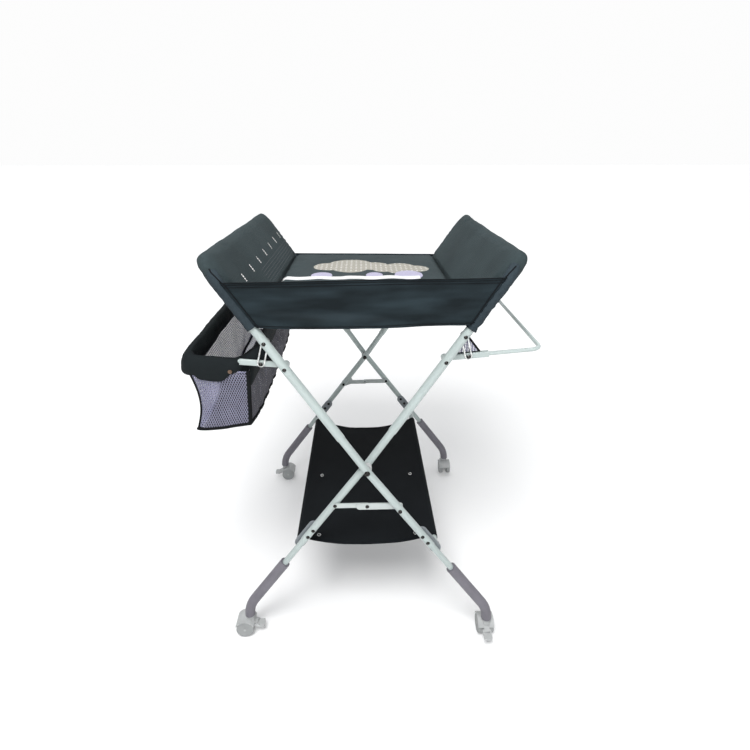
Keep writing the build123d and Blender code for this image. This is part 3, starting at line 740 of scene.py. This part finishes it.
def apron_point(face, low, high, share, drop):
    """Point of an apron's cloth: share across from left to right, drop from top to bottom."""
    height = high + (low - high) * drop
    left, right = apron_edge(OUTER, face, height), apron_edge(INNER, face, height)
    point = left.lerp(right, share)
    middle = sin(pi * share) ** 0.6
    folds = 0.0190 * wobble((point.x * 0.34, 0, height * 1.25 + point.x * 0.22), 0.055, 11 * face)
    folds += 0.0020 * wobble((point.x * 0.7, 0, height), 0.026, 5)
    pull = 0.003 * sin(pi * drop)
    point.y += face * middle * max(-deepest_fold, folds * (0.35 + 0.65 * drop) - pull + 0.002)
    point.z -= (0.0032 * middle + 0.0080 * (share - 0.5)) * drop
    return point


def apron(face, low, high, rows):
    """One apron's cloth."""
    def uv(a, b):
        return b * apron_width, a * (high - low)

    name = "front_apron_cloth" if face < 0 else "rear_apron_cloth"
    cloth = grid(name, rows, 150, lambda a, b: apron_point(face, low, high, b, a), uv)
    if face < 0:
        cloth.data.flip_normals()
    thicken(cloth, apron_thickness)
    return cloth


for face, box, rows, flat, area in ((-1, "front_apron", 30, (apron_width, 0.105), 0.0575),
                                    (1, "rear_apron", 12, (0.50, 0.038), 0.018)):
    low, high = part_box(box)
    cloth = apron(face, low.z, high.z, rows)
    use(cloth, charcoal_uv, "dark_fabric")
    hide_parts(box)
    bend_with_frames(cloth)


def seam_line(name, points, radius, body=None):
    """Raised line of stitching, on one body or else with its transform baked."""
    line = tube(name, points, radius, 8)
    use(line, seam_thread, "dark_fabric", body)
    if not body:
        bend_with_frames(line)


def settled(point, objects):
    """Nearest place on the objects' surfaces."""
    bpy.context.view_layer.update()
    places = []
    for obj in objects:
        local = obj.matrix_world.inverted() @ point
        places.append(obj.matrix_world @ obj.closest_point_on_mesh(local)[1])
    return min(places, key=lambda place: (place - point).length)


def apron_line(count, place):
    """Line on the front apron; place gives (share, drop, lift) for each share of the line."""
    line = []
    for i in range(count + 1):
        share, drop, lift = place(i / count)
        line.append(apron_point(-1, apron_low.z, apron_high.z, share, drop) + Vector((0, -lift, 0)))
    return line


for label, drop, lift, radius in (("edge", 0.004, 0.0006, 0.0012), ("top", 0.045, 0.0012, 0.0008),
                                  ("second", 0.105, 0.0010, 0.0008), ("hem", 0.950, 0.0012, 0.0008)):
    seam_line(f"apron_seam_{label}", apron_line(120, lambda t: (t, drop, lift)), radius)
for side, across in ((OUTER, 0.012), (INNER, 0.988)):
    path = apron_line(40, lambda t: (across, t, 0.0012))
    seam_line(f"{names[side]}_apron_end_seam", path, 0.0016, bodies[side])
    depth = -leg_depth[side] - 0.0085
    under = (panels[side], sleeves_on[side])
    corner = [settled(on_leg(side, 0.545 + i * 0.003, 0.0115 - 0.0003 * i, depth), under) for i in range(13)]
    seam_line(f"{names[side]}_panel_front_seam", corner, 0.0015, bodies[side])


# Centre pad

pad_overhang = 0.0055  # past the CAD pad at each end
pad_edge_gap = 0.006  # leg's middle to the pad's long edge


def pad_sheet():
    """Flat padded surface with soft edges."""
    low, high = pad_low, pad_high
    front_left, front_right = -leg_depth[OUTER] - pad_edge_gap, -leg_depth[INNER] - pad_edge_gap
    half_x = (high.x - low.x) / 2 + pad_overhang
    middle_x = (high.x + low.x) / 2
    thick = high.z - low.z

    def outline(share, across):
        """Plan position: share from front to rear, across from left to right."""
        x = middle_x + (across * 2 - 1) * half_x
        edge = front_left + (front_right - front_left) * across
        return x, edge + (-2 * edge) * share

    def top(a, b):
        x, y = outline(a, b)
        rim = min(a, 1 - a) * 0.66
        sides = min(b, 1 - b) * 0.48
        drop = 0.007 * (1 - smoothstep(0, 0.012, rim)) + 0.006 * (1 - smoothstep(0, 0.014, sides))
        z = high.z - drop + 0.0014 * wobble((x, y, 0), 0.09, 2) + 0.0008 * wobble((x, y, 0), 0.03, 7)
        return Vector((x, y, z - 0.0005))

    rows, cols = 100, 80
    upper = grid("pad_top", rows, cols, top, outline)

    def under(a, b):
        x, y = outline(a, b)
        inset = (thick / 2) * cos(up) / sin(up)
        x += -inset * (b * 2 - 1) * 0.9
        return Vector((x, y * 0.995, high.z - thick * 0.9))

    lower = grid("pad_under", rows, cols, under, outline)
    edit = bmesh.new()
    edit.from_mesh(upper.data)
    count = len(edit.verts)
    edit.from_mesh(lower.data)
    edit.verts.ensure_lookup_table()
    wide = cols + 1
    ring = list(range(wide)) + [i * wide + cols for i in range(1, rows + 1)]
    ring += [rows * wide + j for j in range(cols - 1, -1, -1)] + [i * wide for i in range(rows - 1, 0, -1)]
    for a, b in zip(ring, ring[1:] + ring[:1]):
        edit.faces.new([edit.verts[k] for k in (a, b, b + count, a + count)])
    for face in edit.faces:
        face.smooth = True
    bmesh.ops.recalc_face_normals(edit, faces=edit.faces)
    edit.to_mesh(upper.data)
    edit.free()
    bpy.data.objects.remove(lower)
    upper.name = "pad_cloth"
    return upper


pad = pad_sheet()
use(pad, pad_cloth_printed, "pad_fabric")
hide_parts("centre_pad")
bend_with_frames(pad)


# Shelf sling

shelf_low, shelf_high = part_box("shelf_sling")
bar_boxes = {side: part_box(f"{names[side]}_shelf_bar") for side in (OUTER, INNER)}
bar_radius = (bar_boxes[OUTER][1].z - bar_boxes[OUTER][0].z) / 2
bar_z = (bar_boxes[OUTER][1].z + bar_boxes[OUTER][0].z) / 2
bar_reach = (bar_boxes[OUTER][1].x + bar_boxes[OUTER][0].x) / 2 - crossing.x
sling_wrap = bar_radius + 0.0012
sling_edge = (-0.2955, 0.262)  # front and rear
eyelet_radius = 0.0042
eyelets = ((0.46, 0.215), (0.46, 0.785), (0.035, 0.235), (0.035, 0.765), (0.95, 0.25), (0.95, 0.75))


def sling_point(a, b):
    """Point of the sling: a from front to rear, b from the left bar's loop to the right one's."""
    turn, wrap_share = radians(300), 0.14
    y = sling_edge[0] + (sling_edge[1] - sling_edge[0]) * a
    if wrap_share <= b <= 1 - wrap_share:
        t = (b - wrap_share) / (1 - 2 * wrap_share)
        x = -bar_reach + 2 * bar_reach * t
        sag = (0.026 + 0.012 * a) * (1 - abs(2 * t - 1) ** 2.4)
        z = bar_z + sling_wrap - sag
        z += (0.0016 * wobble((x, y, 0), 0.07, 4) + 0.0008 * wobble((x, y * 0.4, 0), 0.02, 9)) * sin(pi * t)
    else:
        left = b < wrap_share
        t = b / wrap_share if left else (1 - b) / wrap_share
        angle = pi / 2 + turn * (1 - t)
        x = sling_wrap * cos(angle)
        z = bar_z + sling_wrap * sin(angle)
        x = -bar_reach + x if left else bar_reach - x
    return Vector((crossing.x + x, y, z))


def sling_uv(a, b):
    """Place on the flat cloth."""
    return b * 0.46, a * (shelf_high.y - shelf_low.y)


sling = thicken(grid("sling_cloth", 70, 130, sling_point, sling_uv), 0.0014)
use(sling, shelf_cloth, "dark_fabric")
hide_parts("shelf_sling")
bend_with_frames(sling)
for index, (a, b) in enumerate(eyelets):
    middle = sling_point(a, b) + Vector((0, 0, 0.0014))
    angles = [k * pi / 12 for k in range(24)]
    ring = [middle + Vector((eyelet_radius * cos(t), eyelet_radius * sin(t), 0)) for t in angles]
    eyelet = tube(f"sling_eyelet_{index}", ring, 0.0012, 8, closed=True)
    use(eyelet, wire_steel, "dark_fabric")
    bend_with_frames(eyelet)
for index, a in enumerate((0.012, 0.988)):
    hem = [sling_point(a, 0.15 + 0.7 * i / 80) + Vector((0, 0, 0.0009)) for i in range(81)]
    seam_line(f"sling_hem_{index}", hem, 0.0009)


# Basket: points are laid out from the arm pivot, along the arm and square to it

basket_pivot = Vector(joints["basket_fold"]["pos_m"])
rail_low, rail_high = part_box("basket_rail")
rod_radius = 0.0046
rod_out = basket_pivot.x - rail_low.x - rod_radius
rod_up = rail_high.z - rod_radius - basket_pivot.z
rise = atan2(rod_up, rod_out)
basket_reach = hypot(rod_up, rod_out)
rod_depth = rail_high.y - rod_radius


def on_arm(along, square, depth):
    """Point of the basket side, along the arm and above it."""
    x = along * cos(rise) - square * sin(rise)
    z = along * sin(rise) + square * cos(rise)
    return basket_pivot + Vector((-x, depth, z))


rim_start = 0.078  # arm pivot to the band's table side
rim_corner = 0.020
rim_sides = 26
rim_half_thick = 0.0128
rim_half_tall = 0.0222
rim_middle = -0.0148  # middle of the band, square to the arm
rim_hang = 0.014


def rounded_loop(x_low, x_high, half, corner):
    """(along, depth) points round a rectangle with round outer corners."""
    steps, run = 10, 26
    long_run = 3 * run
    turn = [i * pi / 2 / steps for i in range(steps)]
    straight = x_high - corner - x_low
    points = [(x_low + straight * i / run, -half) for i in range(run)]
    points += [(x_high - corner + corner * sin(t), -half + corner - corner * cos(t)) for t in turn]
    points += [(x_high, -half + corner + 2 * (half - corner) * i / long_run) for i in range(long_run)]
    points += [(x_high - corner + corner * cos(t), half - corner + corner * sin(t)) for t in turn]
    points += [(x_high - corner - straight * i / run, half) for i in range(run)]
    points += [(x_low, half - 2 * half * i / long_run) for i in range(long_run)]
    return points


def rim_section(along, depth, half):
    """Half thickness, middle, half height, taper below the arm and extra hang of the band at a place."""
    table_share = 1 - smoothstep(rim_start + 0.006, rim_start + 0.030, along)
    outer_share = smoothstep(basket_reach - 0.024, basket_reach - 0.002, along)
    end_side = abs(depth) > half - 0.016 and along < basket_reach - 0.021
    free_thick = rim_half_thick + 0.0030 * outer_share
    thick = free_thick + ((0.0062 if end_side else 0.0095) - free_thick) * table_share
    middle = rim_middle - 0.0132 * table_share + 0.0015 * outer_share
    half_tall = rim_half_tall + 0.0168 * table_share + 0.0050 * outer_share
    taper, hang = 1.0, 0.0
    if end_side:
        taper = 1 - 0.62 * smoothstep(0.140, 0.112, along) * smoothstep(0.096, 0.108, along)
    if end_side and depth < 0:
        hang = rim_hang * sin(pi * min(1.0, max(0.0, (along - 0.090) / 0.130)))
    return thick, middle, half_tall, taper, hang


def rim_band():
    """Padded band folded over the rod: it passes inside the arm ends and hangs tall on the table side."""
    half = rod_depth + 0.001
    loop = []
    for along, depth in rounded_loop(rim_start + 0.004, basket_reach + 0.001, half, rim_corner):
        jog = 0.0135 * (1 - smoothstep(0.099, 0.115, along))
        loop.append((along, depth * (1 - jog / half)))
    count, sides = len(loop), rim_sides
    verts, faces, uvs = [], [], []
    length = 0.0
    for i, (along, depth) in enumerate(loop):
        before, after = loop[i - 1], loop[(i + 1) % count]
        run = (after[0] - before[0], after[1] - before[1])
        size = hypot(*run) or 1.0
        out = (run[1] / size, -run[0] / size)
        thick, middle_square, half_tall, taper, hang = rim_section(along, depth, half)
        length += size / 2
        for k in range(sides):
            angle = 2 * pi * k / sides
            c, s = cos(angle), sin(angle)
            flat = abs(c) ** 0.55 * (1 if c > 0 else -1)
            tall = abs(s) ** 0.8 * (1 if s > 0 else -1)
            square = middle_square + half_tall * tall + (hang * tall if tall < 0 else 0.0)
            if tall < 0:
                square = middle_square + (square - middle_square) * taper
            swell = 1.0 + 0.16 * wobble((along * 1.5, depth, square), 0.045, 6)
            belly = thick * flat * swell * (1 - 0.35 * (tall > 0) * tall)
            ripple = 0.0018 * wobble((along, depth, square * 2), 0.016, 8)
            a = along + out[0] * (belly + ripple)
            d = depth + out[1] * (belly + ripple)
            droop = 0.0025 * wobble((along, depth, 0), 0.08, 12)
            verts.append(on_arm(a, square + droop, d))
            uvs.append((length, k * 0.004))
    for i in range(count):
        for k in range(sides):
            n, m = (i + 1) % count, (k + 1) % sides
            faces.append((i * sides + k, i * sides + m, n * sides + m, n * sides + k))
    band = mesh_object("basket_rim_band", verts, faces, uvs)
    band.modifiers.new("smooth", "SUBSURF").levels = 1
    return apply_modifiers(band)


rim = rim_band()
use(rim, rim_cloth, "dark_fabric", "basket_side")
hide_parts("basket_rim")

bag_top_square = -0.020
bag_near = 0.081  # arm pivot to the table side's wall, at the top
bag_far = 0.214  # arm pivot to the outer wall, at the top
wall_height = 0.125
end_width = 0.125


def bag_floor_square(along):
    """Height of the bag's bottom edge: it hangs lower on the outer side."""
    return -0.153 - 0.022 * smoothstep(0.06, 0.20, along)


def bag_point(side_name, across, level):
    """Point of one net wall; across runs along it, level runs down."""
    near = bag_near - 0.006 * level
    far = bag_far - 0.022 * level - 0.017 * sin(pi * level)
    half = rod_depth + 0.0080 - 0.012 * level
    belly = sin(pi * across) ** 0.7 * sin(pi * level) ** 0.8
    if side_name in ("front", "rear"):
        face = -1 if side_name == "front" else 1
        along = near + (far - near) * across
        crease = 0.0035 * smoothstep(-0.3, 0.5, across - 0.9 * (1 - level)) - 0.002
        ripple = 0.0015 * wobble((along, level * 0.1, 0), 0.03, 3)
        depth = face * (half - 0.003 * belly + crease * sin(pi * level) + ripple)
    else:
        depth = -half + 2 * half * across
        along = far if side_name == "outer" else near
        if side_name == "outer":
            along += 0.010 * belly + 0.005 * wobble((depth, level * 0.1, 1), 0.07, 4) * sin(pi * across)
        else:
            waves = sin(depth / 0.0095 + 3.0 * wobble((depth, 0, 0), 0.05, 2))
            waves += 0.5 * sin(depth / 0.0041 + 5.0 * wobble((depth, 1, 0), 0.04, 5))
            ease = min(1.0, 8 * across, 8 * (1 - across))
            below_band = smoothstep(0.26, 0.50, level)
            gathers = 0.0042 * waves * (0.35 + 0.65 * (1 - level))
            along -= ((0.012 * belly + gathers) * below_band + 0.008 * level) * ease
    drop = bag_floor_square(along) - bag_top_square
    if side_name in ("outer", "inner"):
        sag = 0.012 * sin(pi * across) ** 0.8 * level
    else:
        sag = 0.003 * sin(pi * across) * level
    return on_arm(along, bag_top_square + drop * level - sag, depth)


def bag_wall(side_name, columns, width):
    """One net wall."""
    def point(a, b):
        return bag_point(side_name, b, a)

    return grid(f"bag_{side_name}", 26, columns, point, lambda a, b: (b * width, a * wall_height))


def bag_floor():
    """Net floor between the walls."""
    def point(a, b):
        place = bag_point("front", a, 1).lerp(bag_point("rear", a, 1), b)
        edge = bag_point("inner", b, 1).lerp(bag_point("outer", b, 1), a)
        place.z = min(place.z, edge.z) - 0.004 * sin(pi * b) * sin(pi * a)
        place.x = edge.x
        return place

    return grid("bag_floor", 16, 90, point, lambda a, b: (b * 0.62, a * 0.12))


def net_fold():
    """Second layer of the front wall's net, in the lower corner by the table."""
    def point(a, b):
        place = bag_point("front", (0.42 + 0.51 * a) * b, 0.05 + 0.95 * a)
        place.y -= 0.0016
        return place

    def uv(a, b):
        return b * (0.42 + 0.51 * a) * end_width, a * 0.119

    return grid("basket_net_fold", 24, 24, point, uv)


walls = join("basket_net", [bag_wall("front", 30, end_width), bag_wall("outer", 90, 0.64),
                            bag_wall("rear", 30, end_width), bag_floor()])
gathered = bag_wall("inner", 330, 0.80)
gathered.name = "basket_gathered_net"
nets = ((walls, net, (1.62, 0.24), 0.221), (gathered, inner_net, (0.80, 0.13), 0.100),
        (net_fold(), doubled_net, (0.13, 0.14), 0.0115))
for piece, material, flat, area in nets:
    smooth_faces(piece.data)
    thicken(piece, 0.0002)
    use(piece, material, "mesh_fabric", "basket_side")
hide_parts("basket_bag")

trims = []
for end in ("front", "rear"):
    for across, radius in ((0.0, 0.0046), (1.0, 0.0022)):
        edge = [bag_point(end, across, i / 30) for i in range(31)]
        trims.append(tube("bag_edge", edge, radius, 10))
floor_loop = [bag_point("front", i / 20, 1) for i in range(20)]
floor_loop += [bag_point("outer", i / 60, 1) for i in range(60)]
floor_loop += [bag_point("rear", 1 - i / 20, 1) for i in range(20)]
floor_loop += [bag_point("inner", 1 - i / 90, 1) for i in range(90)]
trims.append(tube("bag_bottom_edge", floor_loop, 0.0042, 10, closed=True))
trim = join("basket_binding", trims)
smooth_faces(trim.data)
use(trim, binding, "dark_fabric", "basket_side")


# Gussets between the arms and the legs: net on the towel side, black cloth on the basket side

gusset_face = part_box("towel_gussets")[1].y
anchor_along = (stay_anchor - crossing).length
gusset_half = 0.00075  # half the CAD gusset's thickness
gusset_gap = gusset_face - gusset_half - leg_depth[INNER]
gusset_reach = {OUTER: 0.1000, INNER: 0.0805}
gusset_start = 0.0185
gusset_square = 0.0078  # above the arm's line


def gusset_corners(side, face):
    """Corners of a gusset: on the leg, near the pivot on the arm and far out on the arm."""
    depth = face * (leg_depth[side] + gusset_gap)
    pivot = arm_pivot if side == INNER else basket_pivot
    top = on_leg(side, anchor_along, -0.0115, depth)
    arm = []
    for along in (gusset_start, gusset_reach[side]):
        x = along * cos(rise) - gusset_square * sin(rise)
        z = along * sin(rise) + gusset_square * cos(rise)
        arm.append(Vector((pivot.x + side * x, depth, pivot.z + z)))
    return top, arm[0], arm[1]


def gusset_pieces(side, face):
    """One gusset's sheet and its bound edges."""
    top, near, far = gusset_corners(side, face)

    def point(a, b):
        place = top.lerp(near.lerp(far, b), a)
        place.y += face * 0.002 * sin(pi * a) * sin(pi * b)
        return place

    sheet = grid("gusset_sheet", 20, 20, point, lambda a, b: (a * b * gusset_reach[side] * 0.7, a * 0.05))
    thicken(sheet, 0.0006)
    edges = [tube("gusset_edge", [top.lerp(far, i / 12) for i in range(13)], 0.0026, 10)]
    edges.append(tube("gusset_hem", [near.lerp(far, i / 12) for i in range(13)], 0.0016, 10))
    return sheet, edges


gusset_kinds = ((INNER, "towel", net, "mesh_fabric", 0.0030),
                (OUTER, "basket", rim_cloth, "dark_fabric", 0.0042))
for side, label, cloth, slot, area in gusset_kinds:
    sheets, edges = [], []
    for face in (-1, 1):
        sheet, bound = gusset_pieces(side, face)
        sheets.append(sheet)
        edges += bound
    gusset = join(f"{label}_gusset_cloth", sheets)
    gusset_trim = join(f"{label}_gusset_binding", edges)
    use(gusset, cloth, slot)
    use(gusset_trim, binding, "dark_fabric")
    if side == INNER:
        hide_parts("towel_gussets")
    top, near, far = gusset_corners(side, -1)
    for piece in (gusset, gusset_trim):
        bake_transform(piece)


# Floor, light and camera

def area_light(name, place, target, size, energy):
    """Soft light that faces a point."""
    data = bpy.data.lights.new(name, "AREA")
    data.shape = "SQUARE"
    data.size = size
    data.energy = energy
    lamp = bpy.data.objects.new(name, data)
    bpy.context.scene.collection.objects.link(lamp)
    lamp.location = place
    lamp.rotation_euler = (Vector(target) - Vector(place)).to_track_quat("-Z", "Y").to_euler()


ground = mesh_object("ground", [(-30, -30, 0), (30, -30, 0), (30, 30, 0), (-30, 30, 0)], [(0, 1, 2, 3)])
ground_material, ground_tree, ground_shader = new_material("glowing_pale_floor", (0.86, 0.86, 0.86), 0.9)
# The floor glows, as painted light: weakly near the table, where its shadow stays, and more strongly further
# out.
far_off = vector_math(ground_tree, "LENGTH", i0=coordinates(ground_tree))["Value"]
lift = ramp(ground_tree, math(ground_tree, "DIVIDE", far_off, 5.0), [(0.12, 0.10), (0.75, 0.62)])
ground_tree.links.new(lift, ground_shader.inputs["Emission Color"])
ground_shader.inputs["Emission Strength"].default_value = 1.0
ground.data.materials.append(ground_material)
world = bpy.data.worlds.new("studio")
bpy.context.scene.world = world
world.use_nodes = True
world_tree = world.node_tree
sight = world_tree.nodes.new("ShaderNodeTexCoord").outputs["Generated"]
backdrop = vector_math(world_tree, "DOT_PRODUCT", i0=sight, i1=(0, 1, 0))["Value"]
backdrop_white = ramp(world_tree, backdrop, [(0.50, (0.33, 0.34, 0.35)), (0.66, 0.98)])
world_tree.links.new(backdrop_white, world_tree.nodes["Background"].inputs[0])
world_tree.nodes["Background"].inputs[1].default_value = 1.0
area_light("key", (-0.5, -1.9, 3.3), (0, -0.1, 0.7), 1.5, 118)
area_light("fill", (1.2, -3.0, 1.5), (0, 0, 0.6), 1.8, 20)
area_light("top", (0.0, 0.3, 3.4), (0, 0, 0.6), 2.0, 34)

# Camera fitted to 20 rivets and studs in the photograph
camera_left = 0.0101  # of the crossing
camera_distance = 1.3358
camera_height = 1.2184
camera_tilt = radians(74.65)
camera_turn = radians(-1.62)
camera_data = bpy.data.cameras.new("camera")
camera_data.sensor_width = 36.0
camera_data.lens = 24.0
camera_data.shift_y = -0.1243
camera = bpy.data.objects.new("camera", camera_data)
bpy.context.scene.collection.objects.link(camera)
camera.location = crossing + Vector((-camera_left, -camera_distance, camera_height - crossing.z))
camera.rotation_euler = (camera_tilt, 0, camera_turn)
bpy.context.scene.camera = camera
bpy.context.scene.view_settings.view_transform = "Standard"
